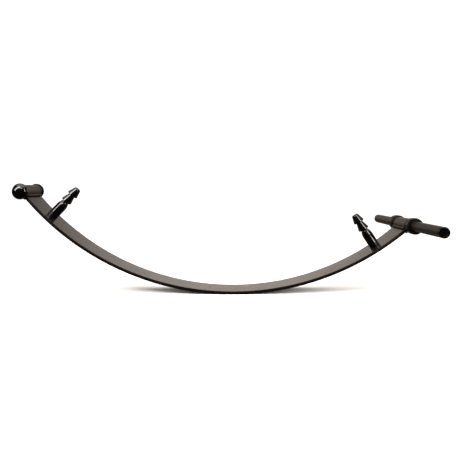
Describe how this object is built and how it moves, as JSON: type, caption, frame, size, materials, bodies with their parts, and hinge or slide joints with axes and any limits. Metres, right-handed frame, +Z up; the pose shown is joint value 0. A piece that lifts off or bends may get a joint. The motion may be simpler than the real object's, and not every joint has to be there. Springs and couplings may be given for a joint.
{
  "type": "rocking bar",
  "caption": "Rocking bar of curved flat steel with a cross sleeve at each end, a turning cross handle in one sleeve, end caps in the other, and two barbed push-fit pegs.",
  "frame": {"origin": "on the floor, below the middle of the bounding box, with the bar in the tilt that it rests in", "axes": "+X along the bar towards the handle end, +Y across the bar towards the back, +Z up"},
  "size_m": [1.0262, 0.4366, 0.2808],
  "materials": {
    "powder_coat": "matte brown-grey powder coat with a fine grain",
    "peg_plastic": "glossy black",
    "cap_plastic": "glossy black",
    "bush_nylon": "satin black",
    "collar_enamel": "glossy black",
    "insert_brass": "bare, turned",
    "screw_steel": "zinc plated"
  },
  "bodies": {
    "frame": {"rocker_bar": "powder_coat", "left_sleeve": "powder_coat", "right_sleeve": "powder_coat", "left_weld_inner": "powder_coat", "left_weld_outer": "powder_coat", "right_weld_inner": "powder_coat", "right_weld_outer": "powder_coat", "left_peg": "peg_plastic", "right_peg": "peg_plastic", "end_cap_front": "cap_plastic", "end_cap_back": "cap_plastic", "bush_front": "bush_nylon", "bush_back": "bush_nylon", "left_peg_insert": "insert_brass", "right_peg_insert": "insert_brass", "left_peg_screw": "screw_steel", "right_peg_screw": "screw_steel"},
    "handle": {"handle_tube": "powder_coat", "handle_cap_front": "cap_plastic", "handle_cap_back": "cap_plastic", "collar_front": "collar_enamel", "collar_back": "collar_enamel", "grub_screw_front": "screw_steel", "grub_screw_back": "screw_steel"}
  },
  "joints": [
    {"name": "handle_spin", "type": "hinge", "parent": "frame", "child": "handle", "pos_m": [0.49263, 0, 0.17414], "axis": [0, 1, 0], "continuous": true}
  ]
}
